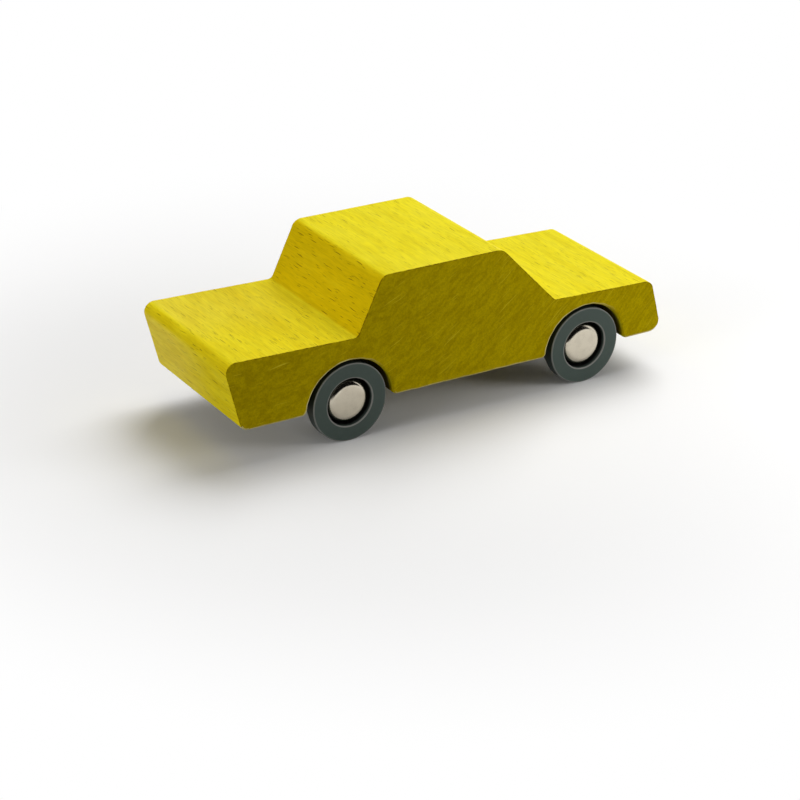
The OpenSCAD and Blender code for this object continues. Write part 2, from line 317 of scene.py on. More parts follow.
makeCamera(cameraSet)
makeFloor(stageSet)
makeScreen(stageSet)
makeSurround(stageSet)
makeLamps(lampSet)
print("camera, floor and lamps are set")


# The arc that rounds each corner of an anticlockwise outline of (x, z, radius). It touches both edges at
# radius / tan(half the corner's angle) from the corner, and its centre lies on the corner's bisector.
def cornerArcs(corners):
    c = np.array(corners, float)
    place = c[:, :2]
    radius = c[:, 2]
    toLast = np.roll(place, 1, axis=0) - place
    toNext = np.roll(place, -1, axis=0) - place
    toLast /= np.linalg.norm(toLast, axis=1)[:, None]
    toNext /= np.linalg.norm(toNext, axis=1)[:, None]
    half = np.arccos(np.sum(toLast * toNext, axis=1)) / 2
    start = place + toLast * (radius / np.tan(half))[:, None]
    inward = toLast + toNext
    inward /= np.linalg.norm(inward, axis=1)[:, None]
    centre = place + inward * (radius / np.sin(half))[:, None]
    first = np.arctan2(start[:, 1] - centre[:, 1], start[:, 0] - centre[:, 0])
    outside = np.sign(toNext[:, 0] * toLast[:, 1] - toNext[:, 1] * toLast[:, 0])
    sweep = outside * (np.pi - 2 * half)
    return [tuple(row) for row in np.column_stack([centre, radius, first, sweep])]


# Points round an outline of arcs that straight edges join, with their outward normals and the number of
# each one's arc, -1 on an edge. Along an arc of (x, z, radius, first angle, sweep) a point is centre +
# radius * (cos a, sin a), and its normal points along the radius at an outside corner and against it at an
# inside one. A straight edge has a point close to both ends, so that its shading stays flat.
def outlineLoop(arcs, arcStep, edgeStep, edgeEnd, closed=True):
    runs = []
    normals = []
    for x, z, radius, first, sweep in arcs:
        count = max(3, math.ceil(abs(sweep) / arcStep) + 1) if radius > 0 else 1
        a = first + sweep * np.linspace(0, 1, count)
        ray = np.column_stack([np.cos(a), np.sin(a)])
        runs.append(np.array([x, z]) + radius * ray)
        normals.append(ray * np.sign(sweep))
    points = []
    outward = []
    arcOf = []
    for i, run in enumerate(runs):
        points.append(run)
        outward.append(normals[i])
        arcOf.append(np.full(len(run), i))
        if not closed and i == len(runs) - 1:
            break
        gap = runs[(i + 1) % len(runs)][0] - run[-1]
        length = np.linalg.norm(gap)
        if length > 3 * edgeEnd:
            along = np.linspace(edgeEnd, length - edgeEnd, max(2, round(length / edgeStep)))
            points.append(run[-1] + gap * (along / length)[:, None])
            outward.append(np.repeat(normals[i][-1:], len(along), axis=0))
            arcOf.append(np.full(len(along), -1))
    return np.concatenate(points), np.concatenate(outward), np.concatenate(arcOf)


# Middle, radius and nearest and furthest distance from the car's middle of a turned node
def reachOf(node):
    low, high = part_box(node)
    near, far = sorted((abs(low.y), abs(high.y)))
    return (low + high) / 2, (high.z - low.z) / 2, near, far


# Body: the side outline carried across the width
bodySet = {
    "bonnetLength": 38.6 * mm,
    "screenRun": 7.1 * mm,
    "roofLength": 36.5 * mm,
    "rearWindowRun": 17.5 * mm,
    "bootLength": 32.2 * mm,
    "noseLean": 5.2 * mm,
    "tailLean": 4.3 * mm,
    "bonnetFrontHeight": 19.25 * mm,
    "bonnetRearHeight": 18.4 * mm,
    "bootFrontHeight": 16.3 * mm,
    "bootRearHeight": 15.35 * mm,
    "noseTopRadius": 2.7 * mm,
    "noseFootRadius": 2.4 * mm,
    "screenFootRadius": 1.8 * mm,
    "roofFrontRadius": 3.0 * mm,
    "roofBackRadius": 4.0 * mm,
    "rearFootRadius": 1.5 * mm,
    "tailTopRadius": 3.0 * mm,
    "tailFootRadius": 3.0 * mm,
    "archRoom": 2.05 * mm,
    "archDrop": 0.3 * mm,
    "archBackRoom": 2.0 * mm,
    "lipRadius": 1.3 * mm,
    "grooveRoom": 0.05 * mm,
    "easeRadius": 0.30 * mm,  # sanded edges of the arches and the sill
    "topEase": 0.15 * mm,  # the other side edges
    "rearLipEase": 1.8,  # added share of rounding where an arch turns down behind its wheel
    "easeWobble": 0.175,  # share of the sanding by which each of its waves varies it
    "easeWaves": ((0.7, 0), (1.9, 1), (0.32, 2)),  # radians to the millimetre, and where a wave starts
    "sillWearAndHighlight": 0.8,  # wear with a painted highlight on the sill's edges
    "topEdgeShade": -1.0,  # the upper edges get painted shade, not pale wear
    "archWearAndHighlight": 0.75,  # wear with a painted highlight at the crown of an arch, more ahead of the wheel and less behind it
    "edgeFadePower": 4,  # how late wear, painted highlight and painted edge shade fade on the way round an edge
    "wallStep": 0.5 * mm,
    "archShade": 2.0 * mm,  # depth at which the painted shade in an arch is full
    "archShadeRows": (0.5, 1, 1, 1, 0),  # strength of the painted shade in an arch, in the rows of points from its edge inwards
    "upFacing": 0.7,  # a top's normal rises more than this
    "downFacing": 0.5,  # the sill's normal falls more than this
    "toneFacing": (103, 127, 180, 193, 203),  # degrees above +X that a face looks
    "toneShare": (0, 1, 1, 0.5, 0),  # depth of stain and painted shade on such faces
    "bonnetTonePlace": (0, 0.7, 1),  # shares of the bonnet's length
    "bonnetTone": (0.2, 0.42, 0.15),  # depth of stain and painted shade there
    "noseTopTone": 0.55,  # stain and painted shade of the nose's upper rounding, as a share of what its facing gives
    "noseTopFacing": (95, 115, 165, 190),  # degrees above +X that the rounding looks
    "noseTopSheen": (1, 0, 0, 1),  # painted sheen there, as a share of its surroundings'
    "topSheen": 0.5,  # painted sheen on the bonnet, as a share of the nose's
    "easeSteps": 7,
    "arcStep": math.radians(4),
    "edgeStep": 2.0 * mm,
    "edgeEnd": 0.15 * mm,
}


# Corners of the side outline, from the foot of the nose, anticlockwise. The foremost of the nose's two
# roundings reaches the front of the CAD body.
def bodyCorners(s, low, high):
    sill = low.z
    nose = 0.0
    screenFoot = s["bonnetLength"]
    roofFront = screenFoot + s["screenRun"]
    roofBack = roofFront + s["roofLength"]
    rearFoot = roofBack + s["rearWindowRun"]
    tailTop = rearFoot + s["bootLength"]
    tailFoot = tailTop + s["tailLean"]
    corners = [
        (s["noseLean"], sill, s["noseFootRadius"]),
        (tailFoot, sill, s["tailFootRadius"]),
        (tailTop, sill + s["bootRearHeight"], s["tailTopRadius"]),
        (rearFoot, sill + s["bootFrontHeight"], s["rearFootRadius"]),
        (roofBack, high.z, s["roofBackRadius"]),
        (roofFront, high.z, s["roofFrontRadius"]),
        (screenFoot, sill + s["bonnetRearHeight"], s["screenFootRadius"]),
        (nose, sill + s["bonnetFrontHeight"], s["noseTopRadius"]),
    ]
    noseArcs = np.array(cornerArcs(corners))[[0, -1]]
    shift = low.x - np.min(noseArcs[:, 0] - noseArcs[:, 2])
    return [(x + shift, z, radius) for x, z, radius in corners]


# A wheel arch as three arcs: a lip that turns up from the sill, the arch over the tyre, and the other lip
def archArcs(s, axleX, archZ, archRadius):
    lipRise = s["lipRadius"] + s["archDrop"]
    lipReach = math.sqrt((archRadius + s["lipRadius"]) ** 2 - lipRise**2)
    tilt = math.atan2(lipRise, lipReach)
    lipZ = archZ + lipRise
    quarter = math.pi / 2
    return [
        (axleX - lipReach, lipZ, s["lipRadius"], -quarter, quarter - tilt),
        (axleX, archZ, archRadius, math.pi - tilt, 2 * tilt - math.pi),
        (axleX + lipReach, lipZ, s["lipRadius"], math.pi + tilt, quarter - tilt),
    ]


# The sill behind a wheel arch: level, up the side of the axle's groove, over its half circle, level again
def sillRun(count, first, last, axleX, axleZ, grooveRadius):
    level = count // 3
    a = np.linspace(math.pi, 0, count - 2 * level)
    before = np.column_stack([np.linspace(first[0], axleX - grooveRadius, level), np.full(level, first[1])])
    over = np.column_stack([axleX + grooveRadius * np.cos(a), axleZ + grooveRadius * np.sin(a)])
    after = np.column_stack([np.linspace(axleX + grooveRadius, last[0], level), np.full(level, last[1])])
    return np.concatenate([before, over, after])


# The outline with wheel arches and its normals, the plain outline behind the arches, which has grooves for
# the axles instead, and which points lie on the arches and on the nose's upper rounding
def bodyOutlines(s, corners, sill):
    axles = []
    arches = []
    for end in ("front", "rear"):
        middle, tyreRadius = reachOf(f"tyre_{end}_right")[:2]
        axles.append((middle.x, middle.z))
        arches.append(archArcs(s, middle.x, sill - s["archDrop"], tyreRadius + s["archRoom"]))
    arcs = cornerArcs(corners)
    arcs = arcs[:1] + arches[0] + arches[1] + arcs[1:]
    outline, normals, arcOf = outlineLoop(arcs, s["arcStep"], s["edgeStep"], s["edgeEnd"])

    grooveRadius = reachOf("front_axle")[1] + s["grooveRoom"]
    plain = outline.copy()
    onArch = np.zeros(len(outline), bool)
    nextArc = 1  # the arches come after the arc at the nose's foot
    for (axleX, axleZ), arch in zip(axles, arches):
        run = np.nonzero((arcOf >= nextArc) & (arcOf < nextArc + len(arch)))[0]
        plain[run] = sillRun(len(run), outline[run[0]], outline[run[-1]], axleX, axleZ, grooveRadius)
        onArch[run] = True
        nextArc += len(arch)
    return outline, normals, plain, onArch, arcOf == len(arcs) - 1


# A flat outline set at a distance y from the car's middle
def rowAt(flat, y):
    return np.column_stack([flat[:, 0], np.broadcast_to(y, len(flat)), flat[:, 1]])


# Marks on one half's points: how far a point lies on end grain, how worn its edge is with a painted
# highlight or how strong its painted edge shade, how deep its stain and painted shade, how much painted
# sheen it has and how strong the painted shade in its arch. The rows go from the flat of the side round its
# edge and inwards.
def bodyMarks(s, corners, outline, normals, turns, onArch, onSill, onNoseTop):
    inner = len(s["archShadeRows"])
    bend = np.concatenate([[0.0], turns, np.full(inner, np.pi / 2)])[:, None]
    wornAndHighlight = np.concatenate([[0.0], 1 - (2 * turns / np.pi) ** s["edgeFadePower"], np.zeros(inner)])[:, None]
    paintedArchShade = np.concatenate([np.zeros(1 + len(turns)), s["archShadeRows"]])[:, None]
    # edge marks: wear with a painted highlight on the sill and arches, strongest where an arch's edge faces
    # +X, and painted shade on the upper edges
    edgeLightAndWear = np.where(onSill, s["sillWearAndHighlight"], s["topEdgeShade"])
    edgeLightAndWear = np.where(onArch, np.clip(s["archWearAndHighlight"] + normals[:, 0], 0, 1), edgeLightAndWear)

    noseFoot, screenFoot, noseTop = (corners[i][0] for i in (0, -2, -1))
    onTop = normals[:, 1] > s["upFacing"]
    facing = np.degrees(np.arctan2(normals[:, 1], normals[:, 0])) % 360
    # stain and painted shade by the way a face looks: deepest on faces that look forward and up, such as
    # the windscreen, less on the nose
    stainAndShade = np.interp(facing, s["toneFacing"], s["toneShare"])
    stainAndShade = np.where(onNoseTop, s["noseTopTone"] * stainAndShade, stainAndShade)
    bonnetPlace = noseTop + s["bonnetLength"] * np.array(s["bonnetTonePlace"])
    bonnet = np.interp(outline[:, 0], bonnetPlace, s["bonnetTone"], right=0)
    stainAndShade = np.maximum(stainAndShade, bonnet * onTop)
    paintedSheen = np.interp(outline[:, 0], (noseFoot, screenFoot), (1, 0)) * np.where(onTop, s["topSheen"], 1)
    paintedSheen *= np.where(onNoseTop, np.interp(facing, s["noseTopFacing"], s["noseTopSheen"]), 1)

    size = (len(bend), len(outline))
    return {
        "endGrain": np.broadcast_to(np.cos(bend) ** 2, size),
        "edgePaintedLightAndWear": wornAndHighlight * edgeLightAndWear,
        "stainAndShade": np.broadcast_to(stainAndShade, size),
        "paintedSheen": np.broadcast_to(paintedSheen, size),
        "archShadeMark": paintedArchShade * onArch,
    }


# The outline is carried across the width. At each side it draws in round a quarter circle, by ease *
# (1 - sin a) at ease * (1 - cos a) from the side, where ease wavers along the edge. At the arches' back
# walls the outline with arches gives way to the one with axle grooves.
def makeBody(s, material):
    low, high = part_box("body")
    side = high.y
    archBack = reachOf("tyre_front_right")[2] - s["archBackRoom"]
    corners = bodyCorners(s, low, high)
    outline, normals, plain, onArch, onNoseTop = bodyOutlines(s, corners, low.z)

    steps = np.linalg.norm(np.diff(outline, axis=0, append=outline[:1]), axis=1)
    along = np.cumsum(steps) / mm
    waver = sum(np.sin(rate * along + start) for rate, start in s["easeWaves"])
    onSill = normals[:, 1] < -s["downFacing"]
    ease = np.where(onArch | onSill, s["easeRadius"], s["topEase"]) * (1 + s["easeWobble"] * waver)
    ease *= 1 + s["rearLipEase"] * onArch * np.clip(-normals[:, 0], 0, 1)

    turns = np.linspace(0, np.pi / 2, s["easeSteps"])
    rows = [rowAt(outline - normals * (ease + s["edgeEnd"])[:, None], side)]
    for a in turns:
        drawnIn = outline - normals * (ease * (1 - math.sin(a)))[:, None]
        rows.append(rowAt(drawnIn, side - ease * (1 - math.cos(a))))
    rows += [rowAt(outline, y) for y in (side - ease - s["wallStep"], side - s["archShade"], archBack)]
    rows += [rowAt(plain, y) for y in (archBack, archBack - s["edgeEnd"])]
    right = np.array(rows)
    points = np.concatenate([right, right[::-1] * np.array([1, -1, 1])])
    half = bodyMarks(s, corners, outline, normals, turns, onArch, onSill, onNoseTop)
    marks = {key: np.concatenate([values, values[::-1]]) for key, values in half.items()}

    count = len(outline)
    total = len(points) * count
    faces = gridFaces(len(points), count, closeColumns=True)
    faces.append(list(range(count)))
    faces.append(list(range(total - count, total)))
    body = makePiece("woodBody", points, faces, material, marks)
    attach(body, "car")
    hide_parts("body")
    return body


# Dashes, one to a cell of a stretched pattern. Each layer gives the cell's size along X, Y and Z, how far a
# dash reaches in its cell, the share of cells without one, and the strength of the strongest.
def dashesOf(tree, place, layers):
    share = 0.0
    for sizes, reach, rare, strength in layers:
        inputs = {"Vector": grainPlace(tree, place, sizes), "Scale": 1.0}
        cell = addNode(tree, "ShaderNodeTexVoronoi", inputs).outputs
        core = spread(tree, cell["Distance"], reach, reach / 2)
        pick = addNode(tree, "ShaderNodeSeparateColor", {0: cell["Color"]}).outputs[0]
        core = calc(tree, "MULTIPLY", core, spread(tree, pick, rare, 1.0, 0.0, strength))
        share = calc(tree, "MAXIMUM", share, core)
    return share


# Yellow-stained beech, grain along Y. Long-grain faces have dark pore dashes, fine fibres and a stain that
# lies deeper on some faces, where it also carries painted shade; a painted sheen lies far out on the nose
# and bonnet. End-grain faces have slanting light rays and a darker, mottled tone. Edges carry wear with a
# painted highlight, or painted shade along the upper ones, and the arches carry painted shade deep inside.
# A cloud is its sizes along X, Y and Z in millimetres, its detail and perhaps its roughness. A range is
# what spread
# takes: two levels of a cloud or mark, and what they become.
woodSet = {
    "yellow": (0.845, 0.725, 0.015, 1),
    "deepYellow": (0.662, 0.48, 0.001, 1),
    "paintedSheen": (0.05, 0.03, 0.045, 1),  # painted sheen, a pale reflection added far out on the nose and bonnet
    "pore": (0.20, 0.12, 0.0, 1),  # share of the colour that is left in a pore
    "paintedArchShade": (0.22, 0.20, 0.20, 1),  # share of the colour that the painted shade leaves deep in an arch
    "endYellow": (0.61, 0.468, 0.001, 1),
    "endDark": (0.495, 0.366, 0.0, 1),
    "ray": (0.80, 0.67, 0.03, 1),
    # pale colour of worn edges, which also stands for a painted highlight
    "wornAndHighlight": (1.0, 0.93, 0.42, 1),
    "dull": (0.42, 0.33, 0.25, 1),  # share of the colour that the painted shade leaves along the upper edges
    "pores": (((0.43, 8.0, 0.43), 0.28, 0.32, 1.00), ((0.31, 4.5, 0.31), 0.28, 0.25, 0.80)),
    "rays": (((17.0, 8.0, 0.56), 0.23, 0.42, 1.00), ((8.0, 6.0, 0.50), 0.22, 0.48, 0.85)),
    "rayBend": (0.62, 0.0045),  # slope and curve of the end grain's rays, per millimetre
    "raySway": 2.0,  # millimetres
    "wanderSizes": (4.0, 8.0, 4.0),
    "wanderDetail": 1.0,
    "wanderReach": (0.9, 0.0, 0.9),  # millimetres
    "patch": ((3.0, 14.0, 3.0), 3.0),
    "fibre": ((0.34, 6.0, 0.34), 2.0),
    "streak": ((2.2, 50.0, 2.2), 2.0),
    "rows": ((2.0, 30.0, 2.0), 2.0),
    "sway": ((9.0, 9.0, 9.0), 1.0),
    "flecks": ((1.6, 3.0, 0.45), 1.0),
    "mottle": ((2.2, 6.0, 1.2), 2.0),
    "broad": ((9.0, 20.0, 4.0), 2.0),
    "speck": ((0.5, 2.0, 0.5), 1.0),
    "chips": ((1.6, 1.6, 1.6), 3.0, 0.7),
    "patchStain": (0.35, 0.7, -0.08, 0.14),
    "streakStain": (0.35, 0.65, -0.06, 0.09),
    "fibreShade": (0.32, 0.68, 0.94, 1.065),
    "streakShade": (0.35, 0.65, 1.02, 0.98),
    "sheenAcross": (-14.0, 12.0),  # millimetres along Y, over which the painted sheen grows towards the far side
    "rowPores": (0.35, 0.65, 0.5, 1.1),
    "stainPores": (0.0, 1.0, 0.7, 1.2),
    "mottleShare": 0.6,  # of the end grain's shade, where the rest is broad
    "mottleShade": (0.37, 0.61),
    "speckShade": (0.3, 0.7, 1.075, 0.895),
    "fleckShade": (0.3, 0.7, 0.985, 1.01),
    "endRange": (0.25, 0.75),
    "wornAndHighlightRange": (0.3, 0.6, 0.5, 0.9),
    # levels of the chips cloud at which the painted edge shade comes and goes
    "edgeShadeRange": (0.38, 0.60, 0.0, -1.0),
    "fibreHeight": 0.2,
    "poreDepth": 0.6,
    "speckHeight": 0.5,
    "feel": (0.35, 0.1 * mm),
    "roughness": (0.3, 0.7, 0.44, 0.58),
    "specular": 0.02,
}


def makeWood(s):
    material, tree, shader, place = startMaterial("yellowBeech")
    axes = addNode(tree, "ShaderNodeSeparateXYZ", {0: place}).outputs
    across = mark(tree, "endGrain")
    stainAndShade = mark(tree, "stainAndShade")

    # long grain, which wanders a little: stain depth with painted shade, painted sheen and fibres, then
    # pores that gather in rows
    start = grainPlace(tree, place, s["wanderSizes"])
    inputs = {"Vector": start, "Scale": 1.0, "Detail": s["wanderDetail"]}
    wander = addNode(tree, "ShaderNodeTexNoise", inputs).outputs["Color"]
    inputs = {0: wander, 1: s["wanderReach"], 2: place}
    along = addNode(tree, "ShaderNodeVectorMath", inputs, operation="MULTIPLY_ADD").outputs[0]
    patch = cloudy(tree, along, *s["patch"])
    fibre = cloudy(tree, along, *s["fibre"])
    streak = cloudy(tree, along, *s["streak"])
    inRow = spread(tree, cloudy(tree, along, *s["rows"]), *s["rowPores"])
    depth = calc(tree, "ADD", stainAndShade, spread(tree, patch, *s["patchStain"]))
    depth = calc(tree, "ADD", depth, spread(tree, streak, *s["streakStain"]), clamp=True)
    long = mixColour(tree, depth, s["yellow"], s["deepYellow"])
    # painted sheen: a pale reflection laid on far out on the nose and bonnet, growing towards the far side
    paintedSheen = calc(tree, "MULTIPLY", mark(tree, "paintedSheen"), spread(tree, axes["Y"], *s["sheenAcross"]))
    long = mixColour(tree, paintedSheen, long, s["paintedSheen"], "ADD")
    long = tint(tree, long, spread(tree, fibre, *s["fibreShade"]))
    long = tint(tree, long, spread(tree, streak, *s["streakShade"]))
    pores = calc(tree, "MULTIPLY", dashesOf(tree, along, s["pores"]), inRow)
    pores = calc(tree, "MULTIPLY", pores, spread(tree, stainAndShade, *s["stainPores"]), clamp=True)
    long = darken(tree, pores, long, s["pore"])

    # end grain: rays keep a steady height above a curve, z = slope * x + bend * x * x, that sways a little
    slope, bend = s["rayBend"]
    curve = calc(tree, "MULTIPLY", axes["X"], calc(tree, "MULTIPLY_ADD", axes["X"], bend, slope))
    sway = calc(tree, "MULTIPLY", cloudy(tree, place, *s["sway"]), s["raySway"])
    height = calc(tree, "SUBTRACT", axes["Z"], calc(tree, "ADD", curve, sway))
    slanted = addNode(tree, "ShaderNodeCombineXYZ", {0: axes["X"], 1: axes["Y"], 2: height}).outputs[0]
    flecks = cloudy(tree, slanted, *s["flecks"])
    mottle = cloudy(tree, slanted, *s["mottle"])
    broad = cloudy(tree, slanted, *s["broad"])
    speck = cloudy(tree, place, *s["speck"])
    shade = blendOf(tree, s["mottleShare"], mottle, broad)
    end = mixColour(tree, spread(tree, shade, *s["mottleShade"]), s["endDark"], s["endYellow"])
    end = tint(tree, end, spread(tree, speck, *s["speckShade"]))
    end = tint(tree, end, spread(tree, flecks, *s["fleckShade"]))
    end = mixColour(tree, dashesOf(tree, slanted, s["rays"]), end, s["ray"])

    # edges: worn pale with a painted highlight where the mark is above zero, and painted shade in ragged
    # patches where it is below
    colour = mixColour(tree, spread(tree, across, *s["endRange"]), long, end)
    edge = mark(tree, "edgePaintedLightAndWear")
    wornAndHighlight = calc(tree, "MULTIPLY", edge, spread(tree, patch, *s["wornAndHighlightRange"]), clamp=True)
    chips = cloudy(tree, place, *s["chips"])
    # painted shade along the upper edges, broken up by the chips cloud
    dull = calc(tree, "MULTIPLY", edge, spread(tree, chips, *s["edgeShadeRange"]), clamp=True)
    colour = mixColour(tree, wornAndHighlight, colour, s["wornAndHighlight"])
    colour = darken(tree, dull, colour, s["dull"])
    # painted shade deep in the arches, growing from the edge inwards
    colour = darken(tree, mark(tree, "archShadeMark"), colour, s["paintedArchShade"])

    fibreHeight = calc(tree, "MULTIPLY", fibre, s["fibreHeight"])
    longHeight = calc(tree, "SUBTRACT", fibreHeight, calc(tree, "MULTIPLY", pores, s["poreDepth"]))
    endHeight = calc(tree, "MULTIPLY", speck, s["speckHeight"])
    inputs = {0: across, 2: longHeight, 3: endHeight}
    height = addNode(tree, "ShaderNodeMix", inputs, data_type="FLOAT").outputs[0]
    dress(tree, shader, colour, spread(tree, patch, *s["roughness"]), height, s["feel"])
    shader.inputs["Specular IOR Level"].default_value = s["specular"]
    return material


body = makeBody(bodySet, makeWood(woodSet))
print("body:", len(body.data.vertices), "points")


# How finely turned pieces are made
turnSet = {
    "arcStep": math.radians(9),
    "edgeStep": 1.0 * mm,
    "edgeEnd": 0.06 * mm,
    "segments": 160,
}


# A profile of (radius, distance out from the car's middle) turned round an axle. At angle a a point lies at
# x = axle x + radius * sin a, y = side * distance, z = axle z + radius * cos a.
def makeTurned(name, profile, axle, side, material, closed=True, marks=None):
    segments = turnSet["segments"]
    a = np.linspace(0, 2 * np.pi, segments, endpoint=False)
    r = profile[:, 0][:, None]
    y = np.broadcast_to(side * profile[:, 1][:, None], (len(profile), segments))
    points = np.stack([axle[0] + r * np.sin(a), y, axle[1] + r * np.cos(a)], axis=-1)
    spun = {key: np.repeat(values, segments) for key, values in (marks or {}).items()}
    return makePiece(name, points, gridFaces(len(profile), segments, closed, True), material, spun)


# Corners of (radius, distance, rounding), given in the order that makes the outline anticlockwise
def turnedProfile(corners, closed=True, edgeEnd=turnSet["edgeEnd"]):
    return outlineLoop(cornerArcs(corners), turnSet["arcStep"], turnSet["edgeStep"], edgeEnd, closed)[0]


# Slate rubber: a close matt grain, a painted highlight along its rims, and painted shade in the well and on
# the tread
rubberSet = {
    "slate": (0.082, 0.113, 0.099, 1),
    "paler": (0.093, 0.124, 0.109, 1),
    # colour of the painted shade in the well and on the tread
    "dark": (0.008, 0.009, 0.009, 1),
    "rimHighlight": (0.32, 0.32, 0.30, 1),
    "cloud": ((3.0, 3.0, 3.0), 4.0, 0.6),
    "grain": ((0.18, 0.18, 0.18), 2.0),
    "cloudShade": (0.35, 0.75),
    "feel": (0.25, 0.05 * mm),
    "roughness": (0.3, 0.7, 0.44, 0.60),
    "specular": 0.25,
}


def makeRubber(s):
    material, tree, shader, place = startMaterial("slateRubber")
    cloud = cloudy(tree, place, *s["cloud"])
    grain = cloudy(tree, place, *s["grain"])
    colour = mixColour(tree, spread(tree, cloud, *s["cloudShade"]), s["slate"], s["paler"])
    # painted shade, deepening into the well and, less, along the tread
    colour = mixColour(tree, mark(tree, "shade"), colour, s["dark"])
    # painted highlight along the rims
    colour = mixColour(tree, mark(tree, "edgePaintedLightAndWear"), colour, s["rimHighlight"])
    dress(tree, shader, colour, spread(tree, cloud, *s["roughness"]), grain, s["feel"])
    shader.inputs["Specular IOR Level"].default_value = s["specular"]
    return material


# Satin nickel: fine scratches in two directions and faint smears
nickelSet = {
    "nickel": (0.59, 0.54, 0.44, 1),
    "smeared": (0.55, 0.50, 0.405, 1),
    "smear": ((2.2, 2.2, 2.2), 3.0),
    "upright": ((0.07, 2.0, 2.4), 2.0),
    "level": ((2.4, 2.0, 0.07), 2.0),
    "uprightShare": 0.6,  # of the scratches
    "smearShade": (0.4, 0.7),
    "feel": (0.08, 0.02 * mm),
    "roughness": (0.3, 0.7, 0.12, 0.21),
}


def makeNickel(s):
    material, tree, shader, place = startMaterial("satinNickel")
    smear = cloudy(tree, place, *s["smear"])
    upright = cloudy(tree, place, *s["upright"])
    level = cloudy(tree, place, *s["level"])
    scratch = blendOf(tree, s["uprightShare"], upright, level)
    colour = mixColour(tree, spread(tree, smear, *s["smearShade"]), s["nickel"], s["smeared"])
    dress(tree, shader, colour, spread(tree, smear, *s["roughness"]), scratch, s["feel"])
    shader.inputs["Metallic"].default_value = 1.0
    return material


# Dark moulded plastic, with a fine spark-eroded texture
plasticSet = {
    "dark": (0.012, 0.012, 0.013, 1),
    "paler": (0.020, 0.020, 0.021, 1),
    "grain": ((0.25, 0.25, 0.25), 3.0),
    "cloud": ((2.0, 2.0, 2.0), 2.0),
    "cloudShade": (0.35, 0.7),
    "feel": (0.3, 0.04 * mm),
    "roughness": (0.3, 0.7, 0.5, 0.7),
}


def makePlastic(s):
    material, tree, shader, place = startMaterial("darkPlastic")
    grain = cloudy(tree, place, *s["grain"])
    cloud = cloudy(tree, place, *s["cloud"])
    colour = mixColour(tree, spread(tree, cloud, *s["cloudShade"]), s["dark"], s["paler"])
    dress(tree, shader, colour, spread(tree, grain, *s["roughness"]), grain, s["feel"])
    return material


# Steel, drawn along Y, with a mottled plating, bright on the axles and duller on the straps and screws
drawnSet = {
    "drawn": ((0.09, 6.0, 0.09), 2.0),
    "plating": ((1.4, 1.4, 1.4), 3.0),
    "platingShade": (0.35, 0.68),
    "feel": (0.15, 0.02 * mm),
}
axleSteelSet = {
    "bright": (0.58, 0.58, 0.57, 1),
    "dull": (0.42, 0.43, 0.44, 1),
    "roughness": (0.3, 0.7, 0.26, 0.44),
}
strapSteelSet = {
    "bright": (0.50, 0.50, 0.47, 1),
    "dull": (0.36, 0.36, 0.35, 1),
    "roughness": (0.3, 0.7, 0.32, 0.50),
}


def makeSteel(name, s):
    material, tree, shader, place = startMaterial(name)
    drawn = cloudy(tree, place, *s["drawn"])
    plating = cloudy(tree, place, *s["plating"])
    colour = mixColour(tree, spread(tree, plating, *s["platingShade"]), s["bright"], s["dull"])
    dress(tree, shader, colour, spread(tree, drawn, *s["roughness"]), drawn, s["feel"])
    shader.inputs["Metallic"].default_value = 1.0
    return material


# Natural nylon: milky, with slight cloudiness
nylonSet = {
    "milky": (0.74, 0.72, 0.66, 1),
    "shade": (0.64, 0.61, 0.54, 1),
    "cloud": ((1.8, 1.8, 1.8), 2.0),
    "grain": ((0.2, 0.2, 0.2), 2.0),
    "feel": (0.15, 0.02 * mm),
    "roughness": (0.3, 0.7, 0.37, 0.52),
}


def makeNylon(s):
    material, tree, shader, place = startMaterial("milkyNylon")
    cloud = cloudy(tree, place, *s["cloud"])
    grain = cloudy(tree, place, *s["grain"])
    colour = mixColour(tree, cloud, s["milky"], s["shade"])
    dress(tree, shader, colour, spread(tree, cloud, *s["roughness"]), grain, s["feel"])
    return material


# Wheels and what holds them, from the frame's boxes and these few sizes
wheelSet = {
    "tyreSection": 4.15 * mm,
    "treadWidth": 3.2 * mm,
    "backWall": 0.5 * mm,  # rubber outside the hub's flange, at the tyre's back
    "tyreEdge": 0.2 * mm,
    "treadFade": 0.3 * mm,  # depth at which the painted shade on the tread is full
    "wellFade": 1.6 * mm,  # depth at which the painted shade in the well is full
    "treadShade": 0.7,  # how dark the tread's painted shade is, as a share of the well's
    "rimFade": 0.2 * mm,  # width over which a rim's painted highlight fades
    "rimReach": 1.01,  # a rim's rounding and a touch more, so that its last points count
    "outerHighlight": 0.7,  # how strong the outer rim's painted highlight is, as a share of the inner's
    "wellDepth": 4.2 * mm,
    "tyreGrip": 1.85 * mm,
    "tyreLip": 1.0 * mm,
    "bossRadius": 4.0 * mm,
    "hubEdge": 0.2 * mm,
    "capEdge": 0.2 * mm,
    "capShoulder": 2.1 * mm,
    "capSkirt": 0.8 * mm,
    "capFace": 1.0 * mm,
    "capSocketShare": 0.42,
    "runningRoom": 0.06 * mm,
    "washerEdge": 0.15 * mm,
    "axleEnd": 0.3 * mm,
}


# Marks on a tyre's profile: how deep the painted shade in the well and on the tread is, and how strong the
# painted highlight on the two rims
def tyreMarks(s, profile, wellRadius, tyreRadius, tyreFace):
    r, y = profile.T
    inWell = r < wellRadius + s["tyreEdge"]
    # painted shade that deepens with distance behind the tyre's face
    depth = np.clip((tyreFace - y) / np.where(inWell, s["wellFade"], s["treadFade"]), 0, 1)
    rim = s["rimReach"] * s["tyreEdge"]
    # painted highlight on the inner rim and, weaker, on the outer
    rimHighlight = np.where(r < wellRadius + rim, 1, s["outerHighlight"] * (r > tyreRadius - rim))
    shade = depth * np.where(inWell, 1, s["treadShade"])
    return {"shade": shade, "edgePaintedLightAndWear": rimHighlight * (y > tyreFace - rim)}


